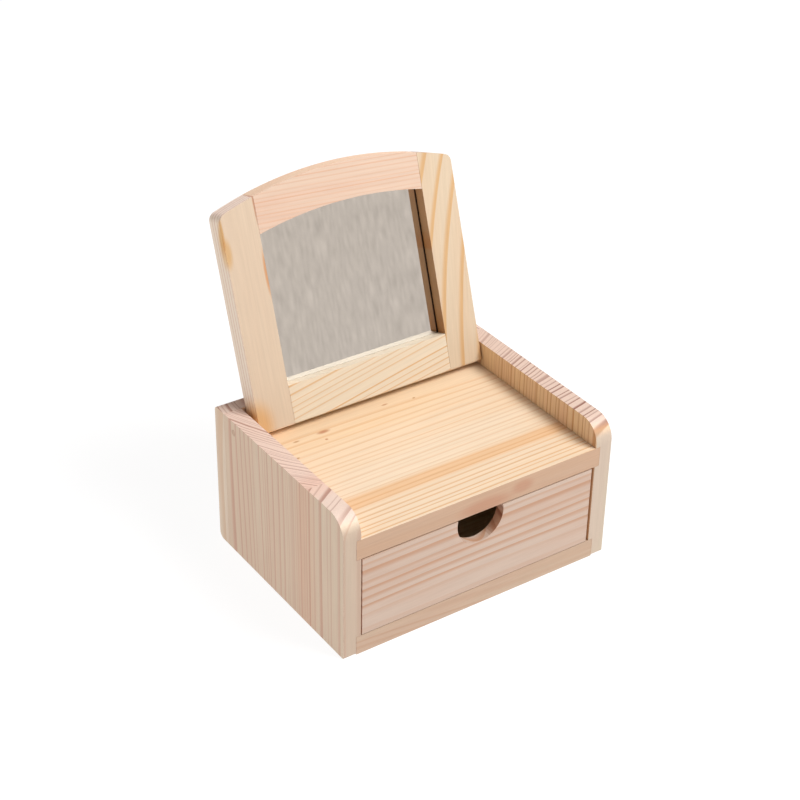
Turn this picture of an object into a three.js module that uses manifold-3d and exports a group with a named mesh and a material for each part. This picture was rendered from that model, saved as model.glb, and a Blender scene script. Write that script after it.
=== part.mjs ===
// Pine vanity box. A carcass of edge-glued boards holds one drawer under a deck, and a mirror in an
// arched frame hangs on two steel pins between the raised sides. The frame leans back on the back
// panel, and folds forward to lie flat on the deck. Millimetres, +Z up, the drawer faces -Y, and the
// origin is on the floor under the middle of the carcass.
import * as THREE from 'three';
import { mergeVertices } from 'three/addons/utils/BufferGeometryUtils.js';
import Module from 'manifold-3d';

const wasm = await Module();
wasm.setup();

// Carcass
const WIDTH = 180;
const DEPTH = 135;
const HEIGHT = 91;
const SIDE_THICK = 11;
const BACK_THICK = 10.5;
const DECK_THICK = 12.5;
const DECK_TOP = 76.1;
const BOTTOM_THICK = 12;
const HOUSING_DEPTH = 3;
const SIDE_NOSE_RADIUS = 13;
const SIDE_TOE_RADIUS = 1.5;
const BACK_TOP_RADIUS = 2.5;
const BACK_FOOT_RADIUS = 4;
const GLUE_LINE = 0.15;

// Drawer
const DRAWER_WIDTH = 155.2;
const DRAWER_HEIGHT = 50.4;
const DRAWER_LENGTH = 121.5;
const DRAWER_SHIFT = -0.6;
const DRAWER_LIFT = 0.4;
const DRAWER_STOCK = 6;
const DRAWER_WALL_HEIGHT = 46;
const DRAWER_BACK_INSET = 6;
const PLY_THICK = 3;
const PLY_LIFT = 3;
const GROOVE_DEPTH = 3;
const NOTCH_RADIUS = 15.6;
const NOTCH_DROP = 3.5;
const NOTCH_SHIFT = -0.4;
const NOTCH_SIDES = 56;

// Mirror frame, measured up from its pivot along its own face
const LEAN_BACK = THREE.MathUtils.degToRad(18.1);
const FRAME_WIDTH = 154;
const FRAME_THICK = 12.8;
const FRAME_SHIFT = 0.8;
const FOLDED_GAP = 2.2;
const PIVOT_Y = 46.65;
const PIVOT_UP = 5.1;
const PIVOT_BEHIND = 5.5;
const TOE_RADIUS = 1.2;
const HEEL_RADIUS = 4;
const FRAME_CROWN = 133.5;
const FRAME_ARC_RADIUS = 244;
const SHOULDER_EASE = 4;
const STILE_WIDTH = 22.6;
const OPENING_BOTTOM = 18;
const OPENING_CROWN = 112;
const OPENING_ARC_RADIUS = 246;
const LIP_DEPTH = 7.6;
const REBATE_WIDTH = 5;
const REBATE_CLEARANCE = 0.5;
const GLASS_THICK = 2;
const BACKING_THICK = 1.6;
const LAYER_GAP = 0.2;

// Fixings
const PIN_RADIUS = 1.1;
const PIN_OUTER_END = 88.5;
const PIN_INNER_END = 66.5;
const PIN_FIT = 0.15;
const PIN_BORE_RADIUS = 1.5;
const PIN_BORE_SPARE = 0.5;
const PLUG_RADIUS = 1.8;
const PLUG_THICK = 1.3;
const DOWEL_RADIUS = 2;
const DOWEL_REACH = 9;
const DOWEL_FIT = 0.15;
const BOTTOM_DOWELS_UP = [1, 10];
const TOP_DOWELS_UP = [115, 121.5];
const POINT_REACH = 4.5;
const POINT_THICK = 0.4;
const POINT_FIT = 0.2;
const STILE_POINTS_UP = [38, 88];
const BRAD_FIT = 0.15;
const BACK_BRAD = { length: 24, shank: 0.65, head: 1.3, headThick: 0.6, tip: 1.6 };
const DRAWER_BRAD = { length: 14, shank: 0.45, head: 0.9, headThick: 0.4, tip: 1.1 };
const SIDE_BRAD_HEIGHTS = [14, 44, 73];
const BOARD_BRAD_SPREAD = 40;
const DRAWER_BRAD_HEIGHTS = [13, 37];
const DRAWER_BRAD_SETBACK = 4.5;

// Worked out from the sizes above
const FRONT = -DEPTH / 2;
const REAR = DEPTH / 2;
const BACK_FACE = REAR - BACK_THICK;
const INNER_HALF = WIDTH / 2 - SIDE_THICK;
const HOUSED_HALF = INNER_HALF + HOUSING_DEPTH - GLUE_LINE;
const DECK_UNDER = DECK_TOP - DECK_THICK;
const PIVOT_Z = DECK_TOP + FOLDED_GAP + PIVOT_BEHIND;
const FRAME_FACE = PIVOT_BEHIND;
const FRAME_REAR = PIVOT_BEHIND - FRAME_THICK;
const FRAME_BOTTOM = -PIVOT_UP;
const OPENING_HALF = FRAME_WIDTH / 2 - STILE_WIDTH;
const RAIL_HALF = OPENING_HALF - GLUE_LINE;
const LIP_BACK = FRAME_FACE - LIP_DEPTH;
const GLASS_FRONT = LIP_BACK - LAYER_GAP;
const BACKING_FRONT = GLASS_FRONT - GLASS_THICK - LAYER_GAP;
const POINT_FRONT = BACKING_FRONT - BACKING_THICK - LAYER_GAP;
const REBATE_WALL = OPENING_HALF + REBATE_WIDTH;
const BEYOND = 5;
const MERGE_DISTANCE = 1e-4;
const ARC_STEPS = 20;
const ROD_SIDES = 20;
const BRAD_SIDES = 10;

const AXIS_X = new THREE.Vector3(1, 0, 0);
const AXIS_Y = new THREE.Vector3(0, 1, 0);
const AXIS_Z = new THREE.Vector3(0, 0, 1);

function finish(color, roughness, metalness = 0) {
  return new THREE.MeshStandardMaterial({ color, roughness, metalness });
}

const PINE = finish(0xe3c8a6, 0.65);
const PINE_PINK = finish(0xe6c5a8, 0.65);
const PINE_CREAM = finish(0xf0d8b4, 0.65);
const PLY = finish(0xdcc6a0, 0.7);
const HARDBOARD = finish(0x8a6a4c, 0.8);
const BEECH = finish(0xd9b48c, 0.7);
const MIRROR = finish(0xc4bcb4, 0.04, 1);
const STEEL = finish(0xa8a8a6, 0.35, 1);
const FILLER = finish(0xd9bd9c, 0.8);

// Solids

function toSolid(geometry) {
  geometry.deleteAttribute('normal');
  geometry.deleteAttribute('uv');
  const merged = mergeVertices(geometry, MERGE_DISTANCE);
  return new wasm.Manifold(new wasm.Mesh({
    numProp: 3,
    vertProperties: new Float32Array(merged.attributes.position.array),
    triVerts: new Uint32Array(merged.index.array),
  }));
}

function toMesh(name, solid, material) {
  const { vertProperties, triVerts } = solid.getMesh();
  const geometry = new THREE.BufferGeometry();
  geometry.setAttribute('position', new THREE.BufferAttribute(vertProperties, 3));
  geometry.setIndex(new THREE.BufferAttribute(triVerts, 1));
  geometry.computeVertexNormals();
  const mesh = new THREE.Mesh(geometry, material);
  mesh.name = name;
  return mesh;
}

function block([x0, x1], [y0, y1], [z0, z1]) {
  const geometry = new THREE.BoxGeometry(x1 - x0, y1 - y0, z1 - z0);
  geometry.translate((x0 + x1) / 2, (y0 + y1) / 2, (z0 + z1) / 2);
  return toSolid(geometry);
}

function extrude(shape, depth) {
  return new THREE.ExtrudeGeometry(shape, { depth, bevelEnabled: false, curveSegments: ARC_STEPS });
}

// The shape's own x and y become Y and Z.
function prismAlongX(shape, [x0, x1]) {
  const geometry = extrude(shape, x1 - x0);
  geometry.applyMatrix4(new THREE.Matrix4().makeBasis(AXIS_Y, AXIS_Z, AXIS_X).setPosition(x0, 0, 0));
  return toSolid(geometry);
}

function prismAlongZ(shape, [z0, z1]) {
  const geometry = extrude(shape, z1 - z0);
  geometry.translate(0, 0, z0);
  return toSolid(geometry);
}

function rod(radius, from, to, sides = ROD_SIDES) {
  const along = new THREE.Vector3().subVectors(to, from);
  const geometry = new THREE.CylinderGeometry(radius, radius, along.length(), sides);
  geometry.applyQuaternion(new THREE.Quaternion().setFromUnitVectors(AXIS_Y, along.normalize()));
  geometry.translate((from.x + to.x) / 2, (from.y + to.y) / 2, (from.z + to.z) / 2);
  return toSolid(geometry);
}

// A turned nail: pointed tip, shank and flat head. It is driven along `direction`, head at `at`.
function nail(size, at, direction, spare = 0) {
  const profile = [
    new THREE.Vector2(0, -spare),
    new THREE.Vector2(size.shank + spare, size.tip - spare),
    new THREE.Vector2(size.shank + spare, size.length - size.headThick - spare),
    new THREE.Vector2(size.head + spare, size.length - size.headThick - spare),
    new THREE.Vector2(size.head + spare, size.length + spare),
    new THREE.Vector2(0, size.length + spare),
  ];
  const geometry = new THREE.LatheGeometry(profile, BRAD_SIDES);
  geometry.translate(0, -size.length, 0);
  geometry.applyQuaternion(new THREE.Quaternion().setFromUnitVectors(AXIS_Y, direction.clone().negate()));
  geometry.translate(at.x, at.y, at.z);
  return toSolid(geometry);
}

// The stretch from a to b on the left (-1) or right (1) of the middle, lowest end first.
function mirrored(sign, a, b) {
  return [Math.min(sign * a, sign * b), Math.max(sign * a, sign * b)];
}

function cutAll(solid, cutters) {
  return cutters.reduce((left, cutter) => left.subtract(cutter), solid);
}

// Where the fixings go

function backBradSpots() {
  const spots = [];
  for (const [side, sign] of [['left', -1], ['right', 1]]) {
    SIDE_BRAD_HEIGHTS.forEach((height, row) => {
      const x = sign * (WIDTH / 2 - SIDE_THICK / 2);
      spots.push({ name: `back_brad_${side}_${row + 1}`, at: new THREE.Vector3(x, REAR, height) });
    });
    for (const [board, height] of [['bottom', BOTTOM_THICK / 2], ['deck', DECK_TOP - DECK_THICK / 2]]) {
      const at = new THREE.Vector3(sign * BOARD_BRAD_SPREAD, REAR, height);
      spots.push({ name: `${board}_brad_${side}`, at });
    }
  }
  return spots;
}

function drawerBradSpots() {
  const spots = [];
  const rear = DRAWER_LENGTH - DRAWER_BACK_INSET - DRAWER_STOCK / 2;
  const rows = { front: DRAWER_BRAD_SETBACK, rear };
  for (const [side, sign] of [['left', -1], ['right', 1]]) {
    for (const [end, y] of Object.entries(rows)) {
      DRAWER_BRAD_HEIGHTS.forEach((height, row) => {
        const at = new THREE.Vector3(sign * DRAWER_WIDTH / 2, y, height);
        const inward = AXIS_X.clone().multiplyScalar(-sign);
        spots.push({ name: `drawer_brad_${side}_${end}_${row + 1}`, at, inward });
      });
    }
  }
  return spots;
}

function dowelSpots() {
  const spots = [];
  for (const [side, sign] of [['left', -1], ['right', 1]]) {
    for (const [rail, heights] of [['bottom', BOTTOM_DOWELS_UP], ['top', TOP_DOWELS_UP]]) {
      heights.forEach((height, row) => {
        const name = `frame_dowel_${side}_${rail}_${row + 1}`;
        spots.push({ name, at: new THREE.Vector3(sign * OPENING_HALF, height, 0) });
      });
    }
  }
  return spots;
}

function glazingPointSpots() {
  const spots = [];
  for (const [side, sign] of [['left', -1], ['right', 1]]) {
    STILE_POINTS_UP.forEach((height, row) => {
      spots.push({ name: `glazing_point_${side}_${row + 1}`, x: sign * REBATE_WALL, y: height });
    });
  }
  spots.push({ name: 'glazing_point_bottom', x: 0, y: OPENING_BOTTOM - REBATE_WIDTH });
  spots.push({ name: 'glazing_point_top', x: 0, y: OPENING_CROWN + REBATE_WIDTH });
  return spots;
}

const BACK_BRADS = backBradSpots();
const DRAWER_BRADS = drawerBradSpots();
const DOWELS = dowelSpots();
const GLAZING_POINTS = glazingPointSpots();
const INTO_BOX = AXIS_Y.clone().negate();

function backBradHoles() {
  return BACK_BRADS.map(({ at }) => nail(BACK_BRAD, at, INTO_BOX, BRAD_FIT));
}

function drawerBradHoles() {
  return DRAWER_BRADS.map(({ at, inward }) => nail(DRAWER_BRAD, at, inward, BRAD_FIT));
}

// Carcass

function sideOutline() {
  const shape = new THREE.Shape();
  shape.moveTo(BACK_FACE - GLUE_LINE, 0);
  shape.lineTo(BACK_FACE - GLUE_LINE, HEIGHT);
  shape.lineTo(FRONT + SIDE_NOSE_RADIUS, HEIGHT);
  shape.absarc(FRONT + SIDE_NOSE_RADIUS, HEIGHT - SIDE_NOSE_RADIUS, SIDE_NOSE_RADIUS,
    Math.PI / 2, Math.PI, false);
  shape.lineTo(FRONT, SIDE_TOE_RADIUS);
  shape.absarc(FRONT + SIDE_TOE_RADIUS, SIDE_TOE_RADIUS, SIDE_TOE_RADIUS, Math.PI, 1.5 * Math.PI, false);
  shape.closePath();
  return shape;
}

// The side panel has a housing for the deck, a rebate for the bottom, and the pivot pin's hole.
function sidePanel(name, sign) {
  const full = [FRONT - BEYOND, REAR + BEYOND];
  const groove = mirrored(sign, INNER_HALF - BEYOND, INNER_HALF + HOUSING_DEPTH);
  const pinSpot = (x) => new THREE.Vector3(sign * x, PIVOT_Y, PIVOT_Z);
  const solid = cutAll(prismAlongX(sideOutline(), mirrored(sign, INNER_HALF, WIDTH / 2)), [
    block(groove, full, [DECK_UNDER - GLUE_LINE, DECK_TOP + GLUE_LINE]),
    block(groove, full, [-BEYOND, BOTTOM_THICK + GLUE_LINE]),
    rod(PIN_RADIUS + PIN_FIT, pinSpot(INNER_HALF - BEYOND), pinSpot(PIN_OUTER_END + PIN_FIT)),
    rod(PLUG_RADIUS + PIN_FIT, pinSpot(PIN_OUTER_END + PIN_FIT), pinSpot(WIDTH / 2 + BEYOND)),
    ...backBradHoles(),
  ]);
  return toMesh(name, solid, PINE);
}

function housedBoard(name, [bottom, top], material) {
  const solid = block([-HOUSED_HALF, HOUSED_HALF], [FRONT, BACK_FACE - GLUE_LINE], [bottom, top]);
  return toMesh(name, cutAll(solid, backBradHoles()), material);
}

function backPanel() {
  const shape = new THREE.Shape();
  shape.moveTo(BACK_FACE, 0);
  shape.lineTo(REAR - BACK_FOOT_RADIUS, 0);
  shape.absarc(REAR - BACK_FOOT_RADIUS, BACK_FOOT_RADIUS, BACK_FOOT_RADIUS, -Math.PI / 2, 0, false);
  shape.lineTo(REAR, HEIGHT - BACK_TOP_RADIUS);
  shape.absarc(REAR - BACK_TOP_RADIUS, HEIGHT - BACK_TOP_RADIUS, BACK_TOP_RADIUS, 0, Math.PI / 2, false);
  shape.lineTo(BACK_FACE, HEIGHT);
  shape.closePath();
  const solid = prismAlongX(shape, [-WIDTH / 2, WIDTH / 2]);
  return toMesh('back_panel', cutAll(solid, backBradHoles()), PINE);
}

function pivotPins() {
  return [['left', -1], ['right', 1]].flatMap(([side, sign]) => {
    const spot = (x) => new THREE.Vector3(sign * x, PIVOT_Y, PIVOT_Z);
    const pin = rod(PIN_RADIUS, spot(PIN_INNER_END), spot(PIN_OUTER_END));
    const plug = rod(PLUG_RADIUS, spot(WIDTH / 2 - PLUG_THICK), spot(WIDTH / 2));
    return [toMesh(`hinge_pin_${side}`, pin, STEEL), toMesh(`hinge_plug_${side}`, plug, FILLER)];
  });
}

function carcass() {
  const group = new THREE.Group();
  group.add(sidePanel('side_panel_left', -1));
  group.add(sidePanel('side_panel_right', 1));
  group.add(housedBoard('bottom_board', [0, BOTTOM_THICK], PINE_PINK));
  group.add(housedBoard('deck_board', [DECK_UNDER, DECK_TOP], PINE_CREAM));
  group.add(backPanel());
  group.add(...pivotPins());
  for (const { name, at } of BACK_BRADS) {
    group.add(toMesh(name, nail(BACK_BRAD, at, INTO_BOX), STEEL));
  }
  return group;
}

// Drawer, from its own front face and its own lower edge

const PLY_SPAN = [PLY_LIFT, PLY_LIFT + PLY_THICK];
const PLY_GROOVE = [PLY_SPAN[0] - GLUE_LINE, PLY_SPAN[1] + GLUE_LINE];

function drawerFront() {
  const half = DRAWER_WIDTH / 2;
  const wall = half - DRAWER_STOCK - GLUE_LINE;
  const rear = [GROOVE_DEPTH, DRAWER_STOCK + BEYOND];
  const rebateTop = DRAWER_WALL_HEIGHT + GLUE_LINE;
  const notch = (y) => new THREE.Vector3(NOTCH_SHIFT, y, DRAWER_HEIGHT - NOTCH_DROP);
  const solid = cutAll(block([-half, half], [0, DRAWER_STOCK], [0, DRAWER_HEIGHT]), [
    rod(NOTCH_RADIUS, notch(-BEYOND), notch(DRAWER_STOCK + BEYOND), NOTCH_SIDES),
    block([-half - BEYOND, -wall], rear, [-BEYOND, rebateTop]),
    block([wall, half + BEYOND], rear, [-BEYOND, rebateTop]),
    block([-half, half], rear, PLY_GROOVE),
    ...drawerBradHoles(),
  ]);
  return toMesh('drawer_front', solid, PINE_PINK);
}

function drawerSide(name, sign) {
  const outer = DRAWER_WIDTH / 2;
  const inner = outer - DRAWER_STOCK;
  const length = [GROOVE_DEPTH + GLUE_LINE, DRAWER_LENGTH];
  const grooveLength = [0, DRAWER_LENGTH + BEYOND];
  const solid = cutAll(block(mirrored(sign, inner, outer), length, [0, DRAWER_WALL_HEIGHT]), [
    block(mirrored(sign, inner - BEYOND, inner + GROOVE_DEPTH), grooveLength, PLY_GROOVE),
    ...drawerBradHoles(),
  ]);
  return toMesh(name, solid, PINE);
}

function drawerBack() {
  const half = DRAWER_WIDTH / 2 - DRAWER_STOCK - GLUE_LINE;
  const rear = DRAWER_LENGTH - DRAWER_BACK_INSET;
  const face = rear - DRAWER_STOCK;
  const solid = cutAll(block([-half, half], [face, rear], [0, DRAWER_WALL_HEIGHT]), [
    block([-half - BEYOND, half + BEYOND], [face - BEYOND, face + GROOVE_DEPTH], PLY_GROOVE),
    ...drawerBradHoles(),
  ]);
  return toMesh('drawer_back', solid, PINE);
}

function drawerBottom() {
  const half = DRAWER_WIDTH / 2 - DRAWER_STOCK + GROOVE_DEPTH - GLUE_LINE;
  const rear = DRAWER_LENGTH - DRAWER_BACK_INSET - DRAWER_STOCK + GROOVE_DEPTH - GLUE_LINE;
  const solid = block([-half, half], [GROOVE_DEPTH + GLUE_LINE, rear], PLY_SPAN);
  return toMesh('drawer_bottom', cutAll(solid, drawerBradHoles()), PLY);
}

function drawer() {
  const group = new THREE.Group();
  group.position.set(DRAWER_SHIFT, FRONT, BOTTOM_THICK + DRAWER_LIFT);
  group.add(drawerFront(), drawerSide('drawer_side_left', -1), drawerSide('drawer_side_right', 1));
  group.add(drawerBack(), drawerBottom());
  for (const { name, at, inward } of DRAWER_BRADS) {
    group.add(toMesh(name, nail(DRAWER_BRAD, at, inward), STEEL));
  }
  return group;
}

// Mirror frame, in its own plane: x across, y up from the pivot, z towards the person

function arcHeight(crown, radius, x) {
  return crown - radius + Math.sqrt(radius * radius - x * x);
}

function frameOutline() {
  const half = FRAME_WIDTH / 2;
  const easeX = half - SHOULDER_EASE;
  const centreY = FRAME_CROWN - FRAME_ARC_RADIUS;
  const corner = arcHeight(FRAME_CROWN, FRAME_ARC_RADIUS, half);
  const easeY = arcHeight(FRAME_CROWN, FRAME_ARC_RADIUS, easeX);
  const spread = Math.asin(easeX / FRAME_ARC_RADIUS);
  const shape = new THREE.Shape();
  shape.moveTo(-half, FRAME_BOTTOM);
  shape.lineTo(half, FRAME_BOTTOM);
  shape.lineTo(half, corner - SHOULDER_EASE);
  shape.quadraticCurveTo(half, corner, easeX, easeY);
  shape.absarc(0, centreY, FRAME_ARC_RADIUS, Math.PI / 2 - spread, Math.PI / 2 + spread, false);
  shape.quadraticCurveTo(-half, corner, -half, corner - SHOULDER_EASE);
  shape.closePath();
  return shape;
}

// The arched opening, grown outwards all round by `grow` for the rebate and what lies in it.
function openingOutline(grow) {
  const half = OPENING_HALF + grow;
  const bottom = OPENING_BOTTOM - grow;
  const radius = OPENING_ARC_RADIUS + grow;
  const centreY = OPENING_CROWN - OPENING_ARC_RADIUS;
  const spread = Math.asin(half / radius);
  const shape = new THREE.Shape();
  shape.moveTo(-half, bottom);
  shape.lineTo(half, bottom);
  shape.absarc(0, centreY, radius, Math.PI / 2 - spread, Math.PI / 2 + spread, false);
  shape.closePath();
  return shape;
}

// Side view of the frame's foot: the toe at the face stays crisp and passes the deck as the frame turns.
function footProfile() {
  const top = FRAME_CROWN + BEYOND;
  const toeUp = FRAME_BOTTOM + TOE_RADIUS;
  const heelUp = FRAME_BOTTOM + HEEL_RADIUS;
  const shape = new THREE.Shape();
  shape.moveTo(top, FRAME_REAR);
  shape.lineTo(top, FRAME_FACE);
  shape.lineTo(toeUp, FRAME_FACE);
  shape.absarc(toeUp, FRAME_FACE - TOE_RADIUS, TOE_RADIUS, Math.PI / 2, Math.PI, false);
  shape.absarc(heelUp, FRAME_REAR + HEEL_RADIUS, HEEL_RADIUS, Math.PI, 1.5 * Math.PI, false);
  shape.closePath();
  return shape;
}

function frameBlank() {
  const half = FRAME_WIDTH / 2 + BEYOND;
  const face = prismAlongZ(frameOutline(), [FRAME_REAR, FRAME_FACE]);
  return face.intersect(prismAlongX(footProfile(), [-half, half]));
}

function pointOutline({ x, y }, reach) {
  const shape = new THREE.Shape();
  shape.moveTo(x - reach, y);
  shape.lineTo(x, y - reach);
  shape.lineTo(x + reach, y);
  shape.lineTo(x, y + reach);
  shape.closePath();
  return shape;
}

function frameCutters() {
  const dowelHoles = DOWELS.map(({ at }) => {
    const reach = new THREE.Vector3(DOWEL_REACH + DOWEL_FIT, 0, 0);
    return rod(DOWEL_RADIUS + DOWEL_FIT, at.clone().sub(reach), at.clone().add(reach));
  });
  const pinBores = [-1, 1].map((sign) => {
    const end = sign * (PIN_INNER_END - PIN_BORE_SPARE) - FRAME_SHIFT;
    const mouth = sign * (FRAME_WIDTH / 2 + BEYOND);
    return rod(PIN_BORE_RADIUS, new THREE.Vector3(end, 0, 0), new THREE.Vector3(mouth, 0, 0));
  });
  const pointSlots = GLAZING_POINTS.map((spot) => prismAlongZ(pointOutline(spot, POINT_REACH + POINT_FIT),
    [POINT_FRONT - POINT_THICK - POINT_FIT, POINT_FRONT + POINT_FIT]));
  const opening = prismAlongZ(openingOutline(0), [FRAME_REAR - BEYOND, FRAME_FACE + BEYOND]);
  const rebate = prismAlongZ(openingOutline(REBATE_WIDTH), [FRAME_REAR - BEYOND, LIP_BACK]);
  return [opening, rebate, ...dowelHoles, ...pinBores, ...pointSlots];
}

function frameMembers() {
  const half = FRAME_WIDTH / 2;
  const middle = (OPENING_BOTTOM + OPENING_CROWN) / 2;
  const tall = [FRAME_BOTTOM - BEYOND, FRAME_CROWN + BEYOND];
  const through = [-half, half];
  const body = cutAll(frameBlank(), frameCutters());
  const member = (name, across, up, material) => {
    return toMesh(name, body.intersect(block(across, up, through)), material);
  };
  return [
    member('frame_stile_left', [-half - BEYOND, -OPENING_HALF], tall, PINE),
    member('frame_stile_right', [OPENING_HALF, half + BEYOND], tall, PINE_CREAM),
    member('frame_top_rail', [-RAIL_HALF, RAIL_HALF], [middle, tall[1]], PINE_PINK),
    member('frame_bottom_rail', [-RAIL_HALF, RAIL_HALF], [tall[0], middle], PINE_CREAM),
  ];
}

function glazing() {
  const outline = openingOutline(REBATE_WIDTH - REBATE_CLEARANCE);
  const glass = prismAlongZ(outline, [GLASS_FRONT - GLASS_THICK, GLASS_FRONT]);
  const backing = prismAlongZ(outline, [BACKING_FRONT - BACKING_THICK, BACKING_FRONT]);
  return [toMesh('mirror_glass', glass, MIRROR), toMesh('mirror_backing', backing, HARDBOARD)];
}

function mirrorFrame() {
  const group = new THREE.Group();
  group.position.set(FRAME_SHIFT, PIVOT_Y, PIVOT_Z);
  group.rotation.x = Math.PI / 2 - LEAN_BACK;
  group.add(...frameMembers(), ...glazing());
  for (const { name, at } of DOWELS) {
    const reach = new THREE.Vector3(DOWEL_REACH, 0, 0);
    group.add(toMesh(name, rod(DOWEL_RADIUS, at.clone().sub(reach), at.clone().add(reach)), BEECH));
  }
  for (const spot of GLAZING_POINTS) {
    const plate = prismAlongZ(pointOutline(spot, POINT_REACH), [POINT_FRONT - POINT_THICK, POINT_FRONT]);
    group.add(toMesh(spot.name, plate, STEEL));
  }
  return group;
}

const group = new THREE.Group();
group.add(carcass(), drawer(), mirrorFrame());
export default group;
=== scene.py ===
# %% [markdown]
# # A pine jewelry box with a folding mirror
#
# The box is bare planed pine: one drawer under a flat deck, two raised sides, and an arched mirror frame
# that leans back on two hidden pins. Its shape is already made as a set of solids, one for each board,
# nail and dowel. What Blender adds is what the eye reads as wood, glass and steel.
#
# We start by loading those solids. Each one is an object of its own, measured in metres. In the file it
# rides on the part that it moves with: the carcass, the drawer or the mirror frame; here it is let go of
# that part, and its place is baked into its mesh.

# %% Load the solids
import math

import bpy
from mathutils import Matrix, Vector

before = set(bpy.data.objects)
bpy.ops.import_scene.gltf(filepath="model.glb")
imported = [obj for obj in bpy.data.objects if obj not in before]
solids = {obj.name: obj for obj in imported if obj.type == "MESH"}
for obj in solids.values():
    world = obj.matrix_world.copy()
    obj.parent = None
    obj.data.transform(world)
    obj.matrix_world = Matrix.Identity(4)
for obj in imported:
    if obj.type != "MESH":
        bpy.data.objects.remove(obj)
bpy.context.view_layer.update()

# %% [markdown]
# ## Colours and nodes
#
# Colours are easiest to choose as hex values, the way a paint chart gives them. Those are sRGB numbers,
# which are bent to suit a screen, and light has to be added up with straight numbers. So one function
# straightens them, and every colour below goes through it.
#
# A material in Blender is a small machine of nodes joined by links. The second function adds one node,
# sets its options and fills its inputs, either with a value or with what another node gives.

# %% Two helpers
def linear(code):
    """The straight (linear) red, green, blue and alpha of an sRGB hex colour such as "E9D6B6"."""
    channels = [int(code[i:i + 2], 16) / 255 for i in (0, 2, 4)]
    straight = [c / 12.92 if c <= 0.04045 else ((c + 0.055) / 1.055) ** 2.4 for c in channels]
    return (*straight, 1.0)


def add(tree, kind, settings, inputs):
    """Adds a node; an input is named, or counted from 0, and takes a value, a node or a node's output."""
    node = tree.nodes.new("ShaderNode" + kind)
    for name, value in settings.items():
        setattr(node, name, value)
    for place, value in inputs.items():
        if isinstance(place, int):
            socket = node.inputs[place]
        else:
            socket = next(s for s in node.inputs if s.enabled and s.name == place)
        if isinstance(value, bpy.types.Node):
            value = next(s for s in value.outputs if s.enabled)
        if isinstance(value, bpy.types.NodeSocket):
            tree.links.new(value, socket)
        else:
            socket.default_value = value
    return node


print("deck cream in straight numbers:", [round(c, 3) for c in linear("E9D6B6")])

# %% [markdown]
# ## The camera
#
# The box is seen from the front left and from above, at about 32 degrees, from a bit over a metre away.
# A long lens from that distance keeps the edges of the box nearly parallel, as in a catalogue picture.
#
# A camera looks along its own -Z, so its place and its three axes go in as one matrix. Aiming by hand
# with angles would work as well, but a matrix also takes the slight turn of the camera about its axis.

# %% Place the camera
aim = Vector((0.0297, 0.0562, 0.0600))
distance = 1.0885
turn = math.radians(-34.77)
height = math.radians(32.07)
tilt = math.radians(1.07)
away = Vector((math.sin(turn) * math.cos(height), -math.cos(turn) * math.cos(height), math.sin(height)))

right = Vector((0, 0, 1)).cross(away).normalized()
up = away.cross(right)
tilted_right = math.cos(tilt) * right + math.sin(tilt) * up
tilted_up = away.cross(tilted_right)

camera = bpy.data.objects.new("camera", bpy.data.cameras.new("camera"))
bpy.context.scene.collection.objects.link(camera)
camera.matrix_world = Matrix.Translation(aim + distance * away) @ Matrix(
    (tilted_right, tilted_up, away)
).transposed().to_4x4()
camera.data.sensor_width = 36
camera.data.lens = 81.3
camera.data.dof.use_dof = False
bpy.context.scene.camera = camera
print("camera stands at", [round(c, 3) for c in camera.matrix_world.translation], "m")

# %% [markdown]
# ## The table and the light
#
# Such a box is shown on a white light table: a sheet of white acrylic, lit a little from below, so that
# shadows nearly vanish. One big soft lamp stands high in front of the box and to its right, so only a
# thin line of shadow is left under the mirror frame. The rest of the light comes from the room: a dim
# cool grey overhead and a warm pale grey at eye level. The mirror leans back and shows the warm part.
#
# The table could be a real box of light, but a plane that both reflects and glows does the same with
# less noise. The room is the world shader: its colour depends on how high one looks, and near eye level
# it carries the folds of a cloth.

# %% The light table
half = 5.0
sheet = bpy.data.meshes.new("light_table")
sheet.from_pydata(
    [(-half, -half, 0), (half, -half, 0), (half, half, 0), (-half, half, 0)],
    [],
    [(0, 1, 2, 3)],
)
table = bpy.data.objects.new("light_table", sheet)
bpy.context.scene.collection.objects.link(table)

acrylic = bpy.data.materials.new("white acrylic lit from below")
acrylic.use_nodes = True
shader = acrylic.node_tree.nodes["Principled BSDF"]
shader.inputs["Base Color"].default_value = linear("6E6E6E")
shader.inputs["Roughness"].default_value = 0.7
shader.inputs["Emission Color"].default_value = linear("FFFFFF")
shader.inputs["Emission Strength"].default_value = 0.9
table.data.materials.append(acrylic)
print("light table", 2 * half, "m wide")

# %% The room
world = bpy.data.worlds.new("dim grey room with a cloth on the wall")
world.use_nodes = True
bpy.context.scene.world = world
tree = world.node_tree
tree.nodes.clear()
look = add(tree, "TexCoord", {}, {})
gaze = look.outputs["Generated"]
level = add(tree, "SeparateXYZ", {}, {0: gaze})

# The far wall carries a cloth with fine upright folds, which only the mirror shows. The two directions
# run across the folds and along them, as the tilted mirror sees them. The fineness is how many folds fit
# in one unit of each direction, a twelfth as many along them as across.
across_folds = (-0.872, -0.465, 0.152)
along_folds = (0.108, 0.121, 0.987)
fineness = (960, 80, 1)
sideways = add(tree, "VectorMath", {"operation": "DOT_PRODUCT"}, {0: gaze, 1: across_folds})
upwards = add(tree, "VectorMath", {"operation": "DOT_PRODUCT"}, {0: gaze, 1: along_folds})
folds = add(tree, "CombineXYZ", {}, {"X": sideways.outputs["Value"], "Y": upwards.outputs["Value"]})
drawn_out = add(tree, "VectorMath", {"operation": "MULTIPLY"}, {0: folds, 1: fineness})
cloth = add(tree, "TexNoise", {}, {"Vector": drawn_out, "Scale": 1.0, "Detail": 2.0, "Roughness": 0.6})

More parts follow.
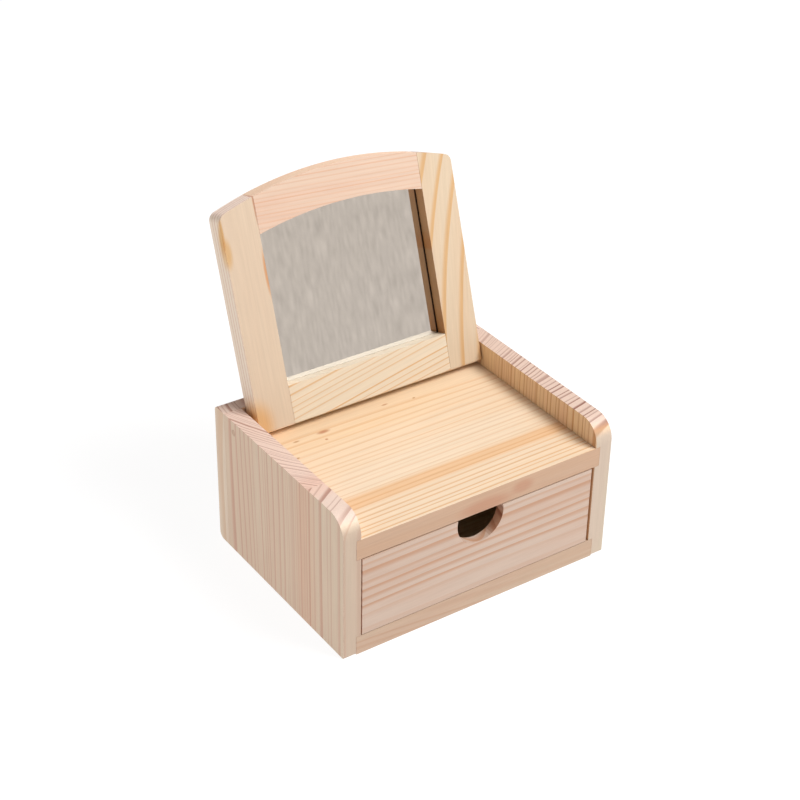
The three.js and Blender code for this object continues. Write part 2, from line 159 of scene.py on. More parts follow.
# The folds run from four fifths of the wall's colour in their hollows to a fifth more on their crests.
shade = add(tree, "MapRange", {}, {"Value": cloth, 1: 0.3, 2: 0.7, 3: 0.78, 4: 1.2})
wall = add(tree, "VectorMath", {"operation": "SCALE"}, {0: linear("D2C7BE")[:3], "Scale": shade})
height_on_wall = {"Value": level.outputs["Z"], 1: 0.12, 2: 0.7}
rise = add(tree, "MapRange", {"interpolation_type": "SMOOTHSTEP"}, height_on_wall)
room = add(tree, "Mix", {"data_type": "RGBA"}, {"Factor": rise, "A": wall, "B": linear("8C8C8E")})

# The camera itself sees plain white past the end of the table. Only light and reflections meet the room.
path = add(tree, "LightPath", {}, {})
seen_directly = path.outputs["Is Camera Ray"]
white = linear("FDFDFD")
behind = add(tree, "Mix", {"data_type": "RGBA"}, {"Factor": seen_directly, "A": room, "B": white})
glow = add(tree, "Background", {}, {"Color": behind, "Strength": 1.0})
add(tree, "OutputWorld", {}, {"Surface": glow})
print("the room has", len(tree.nodes), "nodes")

# %% The soft lamp
def soft_lamp(name, place, towards, size, power):
    """A square soft lamp of that size in metres, facing a point."""
    lamp = bpy.data.objects.new(name, bpy.data.lights.new(name, "AREA"))
    lamp.data.shape = "SQUARE"
    lamp.data.size = size
    lamp.data.energy = power
    lamp.location = place
    lamp.rotation_euler = (Vector(towards) - Vector(place)).to_track_quat("-Z", "Y").to_euler()
    bpy.context.scene.collection.objects.link(lamp)
    return lamp


key = soft_lamp("soft key lamp", (0.65, -0.75, 1.4), (0, 0, 0.08), 0.85, 32.0)
bpy.context.scene.view_settings.view_transform = "Standard"
print(key.name, "gives", key.data.energy, "W")

# %% [markdown]
# ## What planed pine looks like
#
# A pine trunk adds one ring a year. In each ring the wood starts pale and soft in spring, then turns
# slowly to a thin orange-brown line in late summer, and stops sharply where the next spring begins. The
# rings are nested tubes around the heart of the trunk. A board is a flat cut through those tubes, so its
# face shows long lines, its end shows arcs, and both belong to the same rings.
#
# A picture of wood wrapped round each board would break at every corner. Instead we give each board the
# real thing: a line for the heart of its trunk, and the distance from that line, in millimetres. All
# faces then agree, and turning or shifting the line changes the pattern as another saw cut would.
#
# A trunk is never a perfect tube. The first three functions squeeze a pattern so that it runs along the
# grain, push it about in slow waves, and bend it as a trunk that grew in a bow.

# %% Grain, waves and bow
def along_grain(tree, place, grain, keep):
    """The place, squeezed so that a pattern made from it is drawn out along the grain."""
    how_far = add(tree, "VectorMath", {"operation": "DOT_PRODUCT"}, {0: place, 1: grain})
    step = add(tree, "VectorMath", {"operation": "SCALE"}, {0: grain, "Scale": how_far.outputs["Value"]})
    shorter = add(tree, "VectorMath", {"operation": "SCALE"}, {0: step, "Scale": 1.0 - keep})
    return add(tree, "VectorMath", {"operation": "SUBTRACT"}, {0: place, 1: shorter})


def slow_waves(tree, place, drawn, wave):
    """The place, pushed about by up to wave millimetres, in swells about 33 mm wide."""
    per_mm = 0.03
    swell = add(tree, "TexNoise", {}, {"Vector": drawn, "Scale": per_mm, "Detail": 1.5, "Roughness": 0.45})
    middle = (0.5, 0.5, 0.5)
    centred = add(tree, "VectorMath", {"operation": "SUBTRACT"}, {0: swell.outputs["Color"], 1: middle})

    # Noise mostly keeps within a quarter of its middle, so four times that is the whole push.
    push = add(tree, "VectorMath", {"operation": "SCALE"}, {0: centred, "Scale": 4.0 * wave})
    return add(tree, "VectorMath", {"operation": "ADD"}, {0: place, 1: push})


def grown_in_a_bow(tree, place, grain, start, bow):
    """The place, shifted by the vector bow for each squared millimetre along the grain from start."""
    along = add(tree, "VectorMath", {"operation": "DOT_PRODUCT"}, {0: place, 1: grain})
    past = add(tree, "Math", {"operation": "SUBTRACT"}, {0: along.outputs["Value"], 1: start})
    squared = add(tree, "Math", {"operation": "MULTIPLY"}, {0: past, 1: past})
    shift = add(tree, "VectorMath", {"operation": "SCALE"}, {0: bow, "Scale": squared})
    return add(tree, "VectorMath", {"operation": "ADD"}, {0: place, 1: shift})


# %% [markdown]
# The rings come next. The distance from the heart is counted in years, and the fraction of the year is
# the season. Late wood builds up slowly and ends sharply, so one smooth step rises over the summer and
# another falls over the last few days. Wet and dry years crowd or spread the rings, and each year has a
# strength of its own.

# %% Year rings
def year_rings(tree, place, heart, grain, pace, even, weather, soft, steady):
    """0 in spring wood, up to 1 in late wood. pace is how many years go to 100 mm from the heart."""
    from_heart = add(tree, "VectorMath", {"operation": "SUBTRACT"}, {0: place, 1: heart})
    across = add(tree, "VectorMath", {"operation": "CROSS_PRODUCT"}, {0: from_heart, 1: grain})
    distance = add(tree, "VectorMath", {"operation": "LENGTH"}, {0: across})
    relative = add(tree, "Math", {"operation": "DIVIDE"}, {0: distance.outputs["Value"], 1: 100.0})
    grown = add(tree, "Math", {"operation": "POWER"}, {0: relative, 1: even})
    years = add(tree, "Math", {"operation": "MULTIPLY"}, {0: grown, 1: pace})

    rain = add(tree, "TexNoise", {"noise_dimensions": "1D"}, {"W": years, "Scale": 0.37, "Detail": 1.0})
    dated = add(tree, "Math", {"operation": "MULTIPLY_ADD"}, {0: rain, 1: weather, 2: years})
    season = add(tree, "Math", {"operation": "FRACT"}, {0: dated})
    smoother = {"interpolation_type": "SMOOTHERSTEP"}
    darkest = 0.9
    winter_begins = 0.93
    summer = add(tree, "MapRange", smoother, {"Value": season, 1: 1.0 - soft, 2: darkest})
    winter = add(tree, "MapRange", smoother, {"Value": season, 1: winter_begins, 2: 1.0, 3: 1.0, 4: 0.0})
    late_wood = add(tree, "Math", {"operation": "MULTIPLY"}, {0: summer, 1: winter})

    which = add(tree, "Math", {"operation": "FLOOR"}, {0: dated})
    luck = add(tree, "TexWhiteNoise", {"noise_dimensions": "1D"}, {"W": which})
    strength = add(tree, "MapRange", {}, {"Value": luck.outputs["Value"], 3: steady, 4: 1.0})
    return add(tree, "Math", {"operation": "MULTIPLY"}, {0: late_wood, 1: strength})


# %% [markdown]
# Some things belong to one place on a board rather than to its rings. A side may be given painted shade:
# a darker tint of its own, where that side should look less lit. A stain marks one spot, such as a resin
# streak or the edge of a knot. Both darken the wood by taking away light: the colours are multiplied.

# %% Painted side shade and stains
def towards(tree, normal, direction):
    """1 on the sides that face the direction, 0 on the others."""
    turned = add(tree, "VectorMath", {"operation": "DOT_PRODUCT"}, {0: normal, 1: direction})
    return add(tree, "MapRange", {}, {"Value": turned.outputs["Value"], 1: 0.75, 2: 0.95})


def multiplied(tree, colour, tint, where):
    """The colour, multiplied by a tint as far as where says, from 0 to 1."""
    over = {"data_type": "RGBA", "blend_type": "MULTIPLY"}
    return add(tree, "Mix", over, {"Factor": where, "A": colour, "B": tint})


def stain(tree, colour, place, stains):
    """The colour, multiplied by soft ovals: each has a centre and a size in mm, a tint, a strength."""
    for centre, size, tint, strength in stains:
        offset = add(tree, "VectorMath", {"operation": "SUBTRACT"}, {0: place, 1: centre})
        scaled = add(tree, "VectorMath", {"operation": "DIVIDE"}, {0: offset, 1: size})
        reach = add(tree, "VectorMath", {"operation": "LENGTH"}, {0: scaled})
        inside = add(
            tree,
            "MapRange",
            {"interpolation_type": "SMOOTHSTEP"},
            {"Value": reach.outputs["Value"], 1: 0.35, 2: 1.0, 3: strength, 4: 0.0},
        )
        colour = multiplied(tree, colour, linear(tint), inside)
    return colour


# %% [markdown]
# A wide panel is glued up from strips. Each strip was sawn from another trunk, so past the glue line the
# rings have another heart and another width, and the wood has a slightly different tint.

# %% Glued strips
def glued_strips(tree, place, heart, pace, even, strips):
    """The heart, pace and tint of the rings. A strip is (y where it begins, its heart, tint, year)."""
    blend = {"data_type": "RGBA"}
    tint = (1.0, 1.0, 1.0, 1.0)
    depth = add(tree, "SeparateXYZ", {}, {0: place})
    for border, strip_heart, strip_tint, strip_year in strips:
        beyond = add(tree, "Math", {"operation": "GREATER_THAN"}, {0: depth.outputs["Y"], 1: border})
        strip_pace = 100.0 / (strip_year * even)
        heart = add(tree, "Mix", {"data_type": "VECTOR"}, {"Factor": beyond, "A": heart, "B": strip_heart})
        tint = add(tree, "Mix", blend, {"Factor": beyond, "A": tint, "B": linear(strip_tint)})
        pace = add(tree, "MapRange", {}, {"Value": beyond, 3: pace, 4: strip_pace})
    return heart, pace, tint


# %% [markdown]
# The end of the grain drinks in more dirt and shows the rings harder. We find it by comparing the
# direction that a face looks in with the grain. Object normals stay with the board when it moves, so the
# end stays the end. Elsewhere the lines may fade: along one stretch of a board, or on one of its sides.

# %% End grain and the strength of the lines
def end_of_grain(tree, normal, grain):
    """1 where the saw cut across the grain, 0 where it cut along it."""
    facing = add(tree, "VectorMath", {"operation": "DOT_PRODUCT"}, {0: normal, 1: grain})
    end_on = add(tree, "Math", {"operation": "ABSOLUTE"}, {0: facing.outputs["Value"]})
    return add(tree, "MapRange", {"interpolation_type": "SMOOTHSTEP"}, {"Value": end_on, 1: 0.55, 2: 0.9})


def strength_of_lines(tree, place, normal, end_grain, line, calm, sides):
    """How much of the late wood shows, from 0 to 1."""
    strength = add(tree, "MapRange", {}, {"Value": end_grain, 3: line, 4: min(1.0, 1.5 * line)})
    if calm:
        direction, start, end, rest = calm
        way = add(tree, "VectorMath", {"operation": "DOT_PRODUCT"}, {0: place, 1: direction})
        fading = {"Value": way.outputs["Value"], 1: start, 2: end, 3: 1.0, 4: rest}
        quiet = add(tree, "MapRange", {"interpolation_type": "SMOOTHSTEP"}, fading)
        strength = add(tree, "Math", {"operation": "MULTIPLY"}, {0: strength, 1: quiet})
    for direction, _, lines in sides:
        this_side = towards(tree, normal, direction)
        plainer = add(tree, "MapRange", {}, {"Value": this_side, 3: 1.0, 4: lines})
        strength = add(tree, "Math", {"operation": "MULTIPLY"}, {0: strength, 1: plainer})
    return strength


# %% [markdown]
# The colour is laid on in the order in which it comes about in the wood. First there is pale wood with a
# blush, the faint pink of the heartwood, in broad patches along the grain. The end of the grain has
# darker colours of its own. Then comes the late wood over both, and last whatever stained the board.

# %% Colour of the wood
def wood_colour(tree, drawn, shown, end_grain, tones, pink):
    """The pale wood, its blush in patches about 18 mm wide, and the late wood as far as it is shown."""
    pale, blush, late, end_pale, end_late = [linear(code) for code in tones]
    blend = {"data_type": "RGBA"}
    per_mm = 0.055
    patches = add(tree, "TexNoise", {}, {"Vector": drawn, "Scale": per_mm, "Detail": 2.0, "Roughness": 0.6})
    spread = {"Value": patches, 1: 0.38, 2: 0.68, 3: 0.0, 4: pink}
    how_pink = add(tree, "MapRange", {"interpolation_type": "SMOOTHSTEP"}, spread)
    ground = add(tree, "Mix", blend, {"Factor": how_pink, "A": pale, "B": blush})
    light_wood = add(tree, "Mix", blend, {"Factor": end_grain, "A": ground, "B": end_pale})
    dark_wood = add(tree, "Mix", blend, {"Factor": end_grain, "A": late, "B": end_late})
    return add(tree, "Mix", blend, {"Factor": shown, "A": light_wood, "B": dark_wood})


# %% [markdown]
# Now the whole board. Over everything go the fibres, fine streaks that run on for some centimetres. Real
# ones are a few hundredths of a millimetre across and wouldn't show, so ours stand for bundles of them,
# about a millimetre wide.
#
# Unfinished pine is matt but not dead: the roughness is 0.6, and 0.48 on the dense late wood. Planing
# leaves the late wood a hair proud of the soft wood, so the bump follows the rings as well.

# %% Planed pine
def planed_pine(
    name,
    heart,
    grain,
    year,
    pale,
    late,
    blush="E2B49C",
    line=0.6,
    soft=0.55,
    steady=0.45,
    weather=2.2,
    even=1.0,
    wave=3.0,
    pink=0.35,
    bow=None,
    calm=None,
    end_pale="E0C8B9",
    end_late="AB7F6E",
    strips=(),
    sides=(),
    stains=(),
    seed=0.0,
):
    """Pine for one board. heart is a point in mm, grain a direction, year the width of a ring in mm.

    line is how strong the late wood is, soft how gradual, steady how alike the years are and weather how
    unevenly they follow. even is 1 where all years are as wide, and near 0 where they widen outwards.
    wave is the size of the slow waves in mm. bow is (start, shift). calm is (direction, from, to, rest):
    past those millimetres the lines fade to that rest. strips are glued on, each as (y where it begins,
    its heart, its tint, its year). sides are (direction, a tint of painted shade, how much of the lines they
    keep).
    """
    material = bpy.data.materials.new(name)
    material.use_nodes = True
    tree = material.node_tree
    shader = tree.nodes["Principled BSDF"]
    grain = Vector(grain).normalized()[:]

    # Where we are on the board, in millimetres.
    spot = add(tree, "TexCoord", {}, {})
    normal = spot.outputs["Normal"]
    place = add(tree, "VectorMath", {"operation": "SCALE"}, {0: spot.outputs["Object"], "Scale": 1000.0})
    drawn = along_grain(tree, place, grain, 0.12)
    own_start = (seed * 17.0, seed * 31.0, seed * 7.0)
    drawn = add(tree, "VectorMath", {"operation": "ADD"}, {0: drawn, 1: own_start})
    waved = slow_waves(tree, place, drawn, wave)
    if bow:
        waved = grown_in_a_bow(tree, waved, grain, *bow)

    # Its rings, and how much of them shows.
    pace = 100.0 / (year * even)
    heart, pace, glued_tint = glued_strips(tree, place, heart, pace, even, strips)
    ring = year_rings(tree, waved, heart, grain, pace, even, weather, soft, steady)
    end_grain = end_of_grain(tree, normal, grain)
    strength = strength_of_lines(tree, place, normal, end_grain, line, calm, sides)
    shown = add(tree, "Math", {"operation": "MULTIPLY", "use_clamp": True}, {0: ring, 1: strength})

    # Its colour, tinted by the strip, darkened on some sides by painted shade, and marked by the stains.
    tones = (pale, blush, late, end_pale, end_late)
    colour = wood_colour(tree, drawn, shown, end_grain, tones, pink)
    colour = multiplied(tree, colour, glued_tint, 1.0)
    # Painted shade: each listed side is multiplied by its tint.
    for direction, painted_side_shade, _ in sides:
        colour = multiplied(tree, colour, linear(painted_side_shade), towards(tree, normal, direction))
    colour = stain(tree, colour, waved, stains)

    # Fibres, about a millimetre across and drawn out forty times along the grain.
    thread = along_grain(tree, place, grain, 0.025)
    per_mm = 1.1
    fibre = add(tree, "TexNoise", {}, {"Vector": thread, "Scale": per_mm, "Detail": 3.0, "Roughness": 0.65})
    gleam = add(tree, "MapRange", {}, {"Value": fibre, 1: 0.25, 2: 0.75, 3: 0.93, 4: 1.05})
    finished = add(tree, "VectorMath", {"operation": "SCALE"}, {0: colour, "Scale": gleam})
    tree.links.new(finished.outputs["Vector"], shader.inputs["Base Color"])

    # Sheen of the surface, and its relief of a few hundredths of a millimetre.
    matt = add(tree, "MapRange", {}, {"Value": shown, 3: 0.6, 4: 0.48})
    tree.links.new(matt.outputs["Result"], shader.inputs["Roughness"])
    relief = add(tree, "Math", {"operation": "MULTIPLY_ADD"}, {0: fibre, 1: 0.6, 2: shown})
    bump = add(tree, "Bump", {}, {"Strength": 0.35, "Distance": 0.00006, "Height": relief})
    tree.links.new(bump.outputs["Normal"], shader.inputs["Normal"])
    shader.inputs["IOR"].default_value = 1.5
    return material


def cover(material, *names):
    """Gives the named solids that material."""
    for name in names:
        solids[name].data.materials.clear()
        solids[name].data.materials.append(material)
    print(material.name, "on", ", ".join(names))


# %% [markdown]
# ## The sides and the back
#
# Each side panel is glued up from strips with upright grain. The front strip of the left panel is pale
# and cut across the rings, with a few strong lines. The one behind it is pinkish and cut nearly along
# the rings, so its end grain runs almost along the top edge, and it turns reddish towards the glue line.
# The right panel has hard dark rings that widen towards the front.

# %% Side panels and back panel
left_side = planed_pine(
    "planed pine, left side",
    heart=(-134.0, 37.0, 0.0),
    grain=(0.003, 0.006, 1.0),
    year=5.0,
    pale="E5D0B7",
    late="CE9A80",
    blush="DFBDA4",
    line=0.8,
    soft=0.4,
    wave=1.2,
    pink=0.3,
    strips=((-31.5, (75.0, 110.0, 0.0), "FFFBFA", 2.1),),
    # Painted shade: the front edge is multiplied by a grey tint, and keeps 0.6 of its lines.
    sides=(((0.0, -1.0, 0.0), "D3D0D1", 0.6),),
    # Reddish towards the glue line.
    stains=(((-80.0, -31.5, 40.0), (80.0, 15.0, 200.0), "FFF4F0", 0.9),),
    seed=1.0,
)
cover(left_side, "side_panel_left")

right_side = planed_pine(
    "planed pine, right side",
    heart=(52.0, 106.0, 0.0),
    grain=(0.0, 0.006, 1.0),
    year=2.7,
    pale="EACBA1",
    late="BB8352",
    line=0.85,
    soft=0.5,
    even=0.1,
    wave=1.2,
    end_pale="D8BEAE",
    end_late="84503F",
    calm=((0.0, 1.0, 0.0), 12.0, 34.0, 0.45),
    # Painted shade on the front end; the cool tint also takes out some of its pink.
    sides=(((0.0, -1.0, 0.0), "D5E3FA", 0.6),),
    seed=2.0,
)
cover(right_side, "side_panel_right")

back = planed_pine(
    "planed pine, back",
    heart=(-140.0, 75.0, 0.0),
    grain=(0.02, 0.0, 1.0),
    year=3.0,
    pale="EED9C2",
    late="DDB692",
    line=0.7,
    seed=3.0,
)
cover(back, "back_panel")

# %% [markdown]
# ## The deck and the bottom
#
# The deck is one wide board with the grain from side to side. Its heart lay under the rear edge, so the
# rings are spread out there and crowd together towards the front, where they also turn crisp. It is the
# creamiest board of the box, with one broad orange band, a short brown resin streak and a few specks.

# %% Deck and bottom
resin = "C98A62"
speck = "C9A070"
deck = planed_pine(
    "planed pine, deck",
    heart=(0.0, 44.0, 46.0),
    grain=(1.0, 0.012, 0.006),
    year=3.5,
    pale="E3CDB2",
    late="CB8F4B",
    blush="E2C29D",
    line=0.72,
    soft=0.5,
    steady=0.7,
    weather=1.2,
    wave=1.5,
    calm=((0.0, 1.0, 0.0), -50.0, -36.0, 0.5),
    # Painted shade: the front edge is multiplied by a darker tint, and keeps a tenth of its lines.
    sides=(((0.0, -1.0, 0.0), "D3C2BC", 0.1),),
    stains=(
        # The orange band, and a golden warmth over the rear half.
        ((0.0, -38.5, 76.0), (500.0, 8.0, 40.0), "F8DDBE", 0.8),
        ((-20.0, 44.0, 76.0), (160.0, 46.0, 40.0), "FFF8EC", 0.9),
        # Two pink patches on the front edge.
        ((2.0, -67.5, 67.0), (24.0, 5.0, 6.0), "F0D4CA", 0.7),
        ((27.0, -67.5, 70.0), (10.0, 5.0, 5.0), "F0D2C8", 0.6),
        # The resin streak and the specks.
        ((-39.6, 30.6, 76.1), (6.0, 2.2, 3.0), resin, 0.75),
        ((-42.3, 23.1, 76.1), (1.4, 1.1, 3.0), resin, 0.8),
        ((-57.9, 30.1, 76.1), (3.0, 1.2, 3.0), speck, 0.7),
        ((-66.9, 15.5, 76.1), (1.8, 1.0, 3.0), speck, 0.8),
        ((5.1, 36.1, 76.1), (3.0, 1.1, 3.0), resin, 0.6),
        ((24.0, 33.0, 76.1), (1.4, 0.9, 3.0), speck, 0.8),
    ),
    seed=4.0,
)
cover(deck, "deck_board")

bottom = planed_pine(
    "planed pine, bottom",
    heart=(0.0, 20.0, -30.0),
    grain=(1.0, 0.03, 0.02),
    year=2.6,
    pale="BCA38C",
    late="AE8366",
    blush="BA957F",
    line=0.5,
    seed=5.0,
)
cover(bottom, "bottom_board")

# %% [markdown]
# ## The drawer
#
# The drawer front is pinkish, with soft salmon streaks that slant a little and fade out near the bottom.
# The right flank of the finger notch carries painted shade, a browner tint.
# The three other walls are thin plain pine, and the bottom is birch plywood, which shows only when the
# drawer is open.

# %% Drawer
drawer_face = planed_pine(
    "planed pine, drawer front",
    heart=(0.0, -20.0, -30.0),
    grain=(1.0, 0.02, 0.014),
    year=5.0,
    pale="C1AB9B",
    late="B17E5B",
    blush="BC9A85",
    line=0.75,
    soft=0.7,
    steady=0.6,
    weather=1.2,
    wave=2.0,
    pink=0.4,
    calm=((0.0, 0.0, -1.0), -34.0, -22.0, 0.3),
    # Painted shade on the right flank of the finger notch.
    sides=(((-0.9, 0.0, 0.44), "D9B49C", 1.0),),
    seed=6.0,
)
cover(drawer_face, "drawer_front")

drawer_walls = planed_pine(
    "planed pine, drawer walls",
    heart=(0.0, 0.0, -60.0),
    grain=(0.02, 1.0, 0.02),
    year=3.4,
    pale="EBD6BC",
    late="D9B088",
    seed=7.0,
)
cover(drawer_walls, "drawer_side_left", "drawer_side_right")

drawer_rear = planed_pine(
    "planed pine, drawer back",
    heart=(0.0, 110.0, -20.0),
    grain=(1.0, 0.02, 0.02),
    year=3.4,
    pale="EBD6BC",
    late="D9B088",
    seed=8.0,
)
cover(drawer_rear, "drawer_back")

# %% [markdown]
# ## The mirror frame
#
# The frame leans back by 18 degrees, so the grain of its stiles leans too. The left stile is cut along
# the rings: its face is plain, and painted shade makes it a little darker; its outer side shows the rings
# as fine stripes. It has a resin streak at the outer edge and the rim of a knot at its foot. The right one
# shows a few wide orange stripes that bow. The arched rail is pink and finely lined, and palest on its top,
# because its front and back carry painted shade. On the lower rail the grain runs diagonally. The inner
# side of the right stile, at the side of the opening, carries painted shade that makes it browner.

# %% Frame members
lean = math.radians(18.1)
upright = Vector((0.0, math.sin(lean), math.cos(lean)))
outwards = Vector((0.0, -math.cos(lean), math.sin(lean)))
face_middle = Vector((-65.0, 59.0, 139.3))

left_stile = planed_pine(
    "planed pine, left stile",
    heart=(face_middle + 151.5 * outwards)[:],
    grain=upright,
    year=2.9,
    pale="FDECD8",
    late="D2977B",
    blush="F4D5BC",
    line=0.7,
    soft=0.4,
    weather=0.4,
    wave=0.6,
    pink=0.2,
    end_pale="FFE9D9",
    end_late="CB9883",
    # Painted shade: the face is multiplied by a grey tint, and keeps 0.6 of its lines.
    sides=((outwards[:], "C9C2B9", 0.6),),
    stains=(
        # The resin streak at the outer edge.
        ((-76.2, 76.0, 192.0), (1.6, 6.0, 18.0), "F0D29A", 1.0),
        ((-75.2, 72.0, 181.0), (4.2, 7.0, 13.0), "F8DFB0", 0.9),
        # The rim of the knot at the foot.
        ((-76.0, 45.0, 84.0), (14.0, 16.0, 20.0), "FFDDA8", 0.9),
        # Two reddish streaks along the opening.
        ((-53.4, 81.0, 206.0), (1.0, 12.0, 22.0), "D9A890", 0.8),
        ((-53.4, 67.0, 166.0), (1.8, 9.0, 20.0), "F3C49A", 0.9),
    ),
    seed=9.0,
)
cover(left_stile, "frame_stile_left")

right_stile = planed_pine(
    "planed pine, right stile",
    heart=(-311.0, 40.0, 100.0),
    grain=upright + Vector((0.1, 0.0, 0.0)),
    year=11.5,
    pale="C8B49A",
    late="C08E4C",
    blush="C8AE91",
    line=0.7,
    soft=0.42,
    steady=0.9,
    weather=0.4,
    wave=1.0,
    pink=0.5,
    bow=(95.0, (-0.0011, 0.0, 0.0)),
    # Painted shade: the inner side, facing the opening, is multiplied by a browner tint.
    sides=(((-1.0, 0.0, 0.0), "E6C8A6", 1.0),),
    seed=10.0,
)
cover(right_stile, "frame_stile_right")

top_rail = planed_pine(
    "planed pine, arched rail",
    heart=(0.0, 30.0, 300.0),
    grain=(1.0, -0.023, -0.07),
    year=1.8,
    pale="FADABD",
    late="EEAA7D",
    blush="F8C8A9",
    line=0.5,
    soft=0.5,
    weather=1.2,
    wave=1.2,
    pink=0.5,
    # Painted shade: the front and the back are multiplied by a grey tint, so the top stays palest.
    sides=((outwards[:], "D1D2D7", 1.0), ((-outwards)[:], "D1D2D7", 1.0)),
    seed=11.0,
)
cover(top_rail, "frame_top_rail")

bottom_rail = planed_pine(
    "planed pine, lower rail",
    heart=(0.0, 30.0, -60.0),
    grain=(0.985, 0.054, 0.165),
    year=3.9,
    pale="D3C4AD",
    late="C5904F",
    blush="D5BC9F",
    line=0.75,
    soft=0.33,
    steady=0.6,
    weather=1.0,
    wave=1.2,
    sides=((upright[:], "FFFFFF", 0.1),),
    seed=12.0,
)
cover(bottom_rail, "frame_bottom_rail")

# %% [markdown]
# ## Plywood, hardboard, dowels and filler
#
# Plywood shows its thin layers on the edge and a calm figure on the face. Hardboard is pressed fibre
# felt: brown and dense, with no grain at all. The dowels are beech, pale with short dark flecks. The
# filler over the pivot pins is a dull grey-brown paste.

# %% Sheet stock and filler
def flecked(name, base, fleck, fleck_size, draw, amount, roughness):
    """A stock with flecks: fleck_size in mm along each axis is multiplied by draw for its direction."""
    material = bpy.data.materials.new(name)
    material.use_nodes = True
    tree = material.node_tree
    shader = tree.nodes["Principled BSDF"]
    spot = add(tree, "TexCoord", {}, {})
    per_metre = [1000.0 / (fleck_size * d) for d in draw]
    place = add(tree, "VectorMath", {"operation": "MULTIPLY"}, {0: spot.outputs["Object"], 1: per_metre})
    fine = add(tree, "TexNoise", {}, {"Vector": place, "Scale": 1.0, "Detail": 3.0, "Roughness": 0.6})
    broad = add(tree, "TexNoise", {}, {"Vector": place, "Scale": 0.11, "Detail": 2.0})
    both = add(tree, "Math", {"operation": "MULTIPLY_ADD"}, {0: broad, 1: 0.5, 2: fine})
    mask = add(
        tree,
        "MapRange",
        {"interpolation_type": "SMOOTHSTEP"},
        {"Value": both, 1: 0.6, 2: 1.0, 3: 0.0, 4: amount},
    )
    colour = add(tree, "Mix", {"data_type": "RGBA"}, {"Factor": mask, "A": linear(base), "B": linear(fleck)})
    tree.links.new(colour.outputs["Result"], shader.inputs["Base Color"])
    smoothest = roughness - 0.06
    roughest = roughness + 0.06
    matt = add(tree, "MapRange", {}, {"Value": fine, 1: 0.3, 2: 0.7, 3: smoothest, 4: roughest})
    tree.links.new(matt.outputs["Result"], shader.inputs["Roughness"])
    bump = add(tree, "Bump", {}, {"Strength": 0.3, "Distance": 0.00005, "Height": fine})
    tree.links.new(bump.outputs["Normal"], shader.inputs["Normal"])
    return material


cover(flecked("birch plywood", "E6D2B0", "CFAE83", 1.2, (20, 1, 0.4), 0.7, 0.55), "drawer_bottom")
cover(flecked("hardboard", "8A6442", "5E3F28", 0.8, (1, 1, 1), 0.8, 0.5), "mirror_backing")
cover(
    flecked("beech dowel", "D9B791", "A87A52", 0.5, (4, 1, 1), 0.7, 0.5),
    *[n for n in solids if n.startswith("frame_dowel")],
)
cover(
    flecked("wood filler", "DDBFA5", "BF9C84", 0.7, (1, 1, 1), 0.7, 0.75),
    "hinge_plug_left",
    "hinge_plug_right",
)

# %% [markdown]
# ## Steel and mirror
#
# The nails, pins and glazing points are bright drawn steel: a metal, fairly smooth, with fine scratches
# that make it a little rougher in places.
#
# The mirror is float glass with silver behind it. Real light goes through the glass and comes back from
# the silver. A metal with a thin clear coat looks the same and needs no light to be traced through the
# glass, so that is what we use. Silver is nearly neutral, and the glass makes it very slightly green.
# Along the right side of the opening the silver is painted dark brown: painted shadow where the glass meets
# its lip.

# %% Steel and silvered glass
steel = bpy.data.materials.new("drawn steel")
steel.use_nodes = True
tree = steel.node_tree
shader = tree.nodes["Principled BSDF"]
spot = add(tree, "TexCoord", {}, {})
scratch_mm = 0.4
per_metre = 1000.0 / scratch_mm
scratch = add(tree, "TexNoise", {}, {"Vector": spot.outputs["Object"], "Scale": per_metre, "Detail": 3.0})
worn = linear("8E8C88")
bright = linear("C9C7C2")
tone = add(tree, "Mix", {"data_type": "RGBA"}, {"Factor": scratch, "A": worn, "B": bright})
tree.links.new(tone.outputs["Result"], shader.inputs["Base Color"])
wear = add(tree, "MapRange", {}, {"Value": scratch, 1: 0.3, 2: 0.7, 3: 0.28, 4: 0.45})
tree.links.new(wear.outputs["Result"], shader.inputs["Roughness"])
shader.inputs["Metallic"].default_value = 1.0
cover(steel, *[n for n in solids if "brad" in n or "glazing" in n or "hinge_pin" in n])

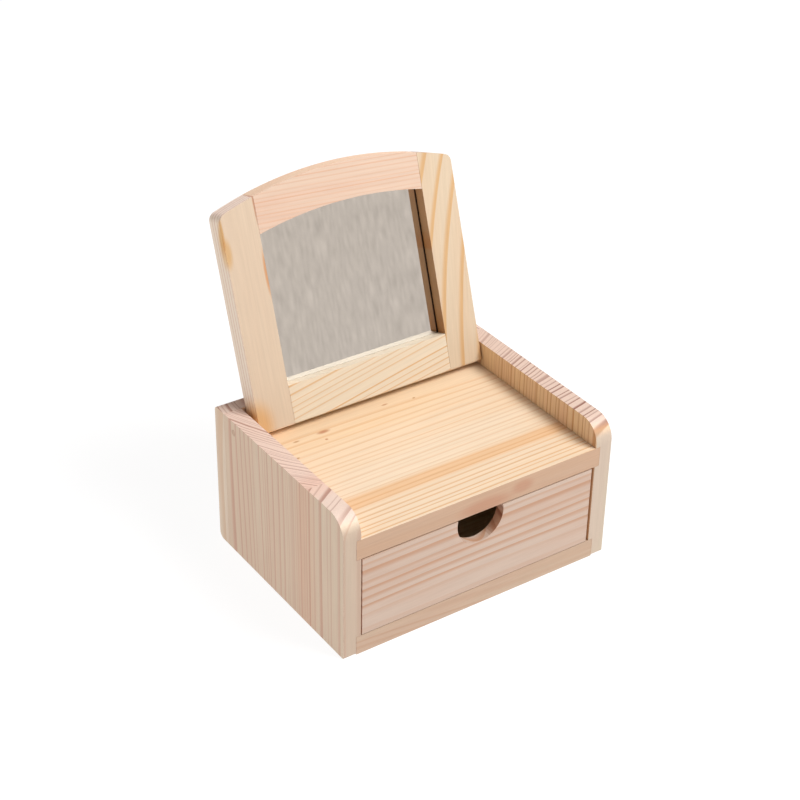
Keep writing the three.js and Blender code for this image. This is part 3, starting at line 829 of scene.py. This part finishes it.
mirror = bpy.data.materials.new("silvered float glass")
mirror.use_nodes = True
tree = mirror.node_tree
shader = tree.nodes["Principled BSDF"]
spot = add(tree, "TexCoord", {}, {})
per_metre = 30.0
cloud = add(tree, "TexNoise", {}, {"Vector": spot.outputs["Object"], "Scale": per_metre, "Detail": 2.0})
dull = linear("E6E6E2")
clear = linear("EEEEEB")
silver = add(tree, "Mix", {"data_type": "RGBA"}, {"Factor": cloud, "A": dull, "B": clear})

# Painted shadow: the last millimetre before the right side of the opening turns dark brown.
sideways = add(tree, "SeparateXYZ", {}, {0: spot.outputs["Object"]})
shadow_start = 0.0539
shadow_end = 0.0544
painted_shadow = add(tree, "MapRange", {}, {"Value": sideways.outputs["X"], 1: shadow_start, 2: shadow_end})
shadow_brown = linear("2E2018")
silver_and_painted_shadow = add(tree, "Mix", {"data_type": "RGBA"}, {"Factor": painted_shadow, "A": silver, "B": shadow_brown})
tree.links.new(silver_and_painted_shadow.outputs["Result"], shader.inputs["Base Color"])
shader.inputs["Metallic"].default_value = 1.0
shader.inputs["Roughness"].default_value = 0.02
shader.inputs["Coat Weight"].default_value = 1.0
shader.inputs["Coat Roughness"].default_value = 0.01
cover(mirror, "mirror_glass")

# %% [markdown]
# ## Eased edges
#
# A joiner takes every sharp corner off with one stroke of fine paper. The small rounding catches a thin
# line of light, and without it wood looks like cardboard. The Bevel modifier does this without touching
# the solids. Before it, a Decimate modifier merges the flat triangles into whole faces, so that the
# bevel only meets real corners.

# %% Ease the edges
def ease(name, width_mm):
    """Rounds the sharp corners of a solid by that many millimetres."""
    solid = solids[name]
    merge = solid.modifiers.new("whole faces", "DECIMATE")
    merge.decimate_type = "DISSOLVE"
    merge.angle_limit = math.radians(0.5)
    rounding = solid.modifiers.new("eased edges", "BEVEL")
    rounding.width = width_mm * 0.001
    rounding.segments = 3
    rounding.limit_method = "ANGLE"
    rounding.angle_limit = math.radians(40)
    rounding.miter_outer = "MITER_ARC"


widths_mm = {
    "side_panel_left": 0.6,
    "side_panel_right": 0.6,
    "back_panel": 0.6,
    "deck_board": 0.35,
    "bottom_board": 0.35,
    "drawer_front": 0.35,
    "drawer_side_left": 0.4,
    "drawer_side_right": 0.4,
    "drawer_back": 0.4,
    "frame_stile_left": 0.35,
    "frame_stile_right": 0.35,
    "frame_top_rail": 0.35,
    "frame_bottom_rail": 0.35,
}
for name, width_mm in widths_mm.items():
    ease(name, width_mm)
print("eased", len(widths_mm), "boards")
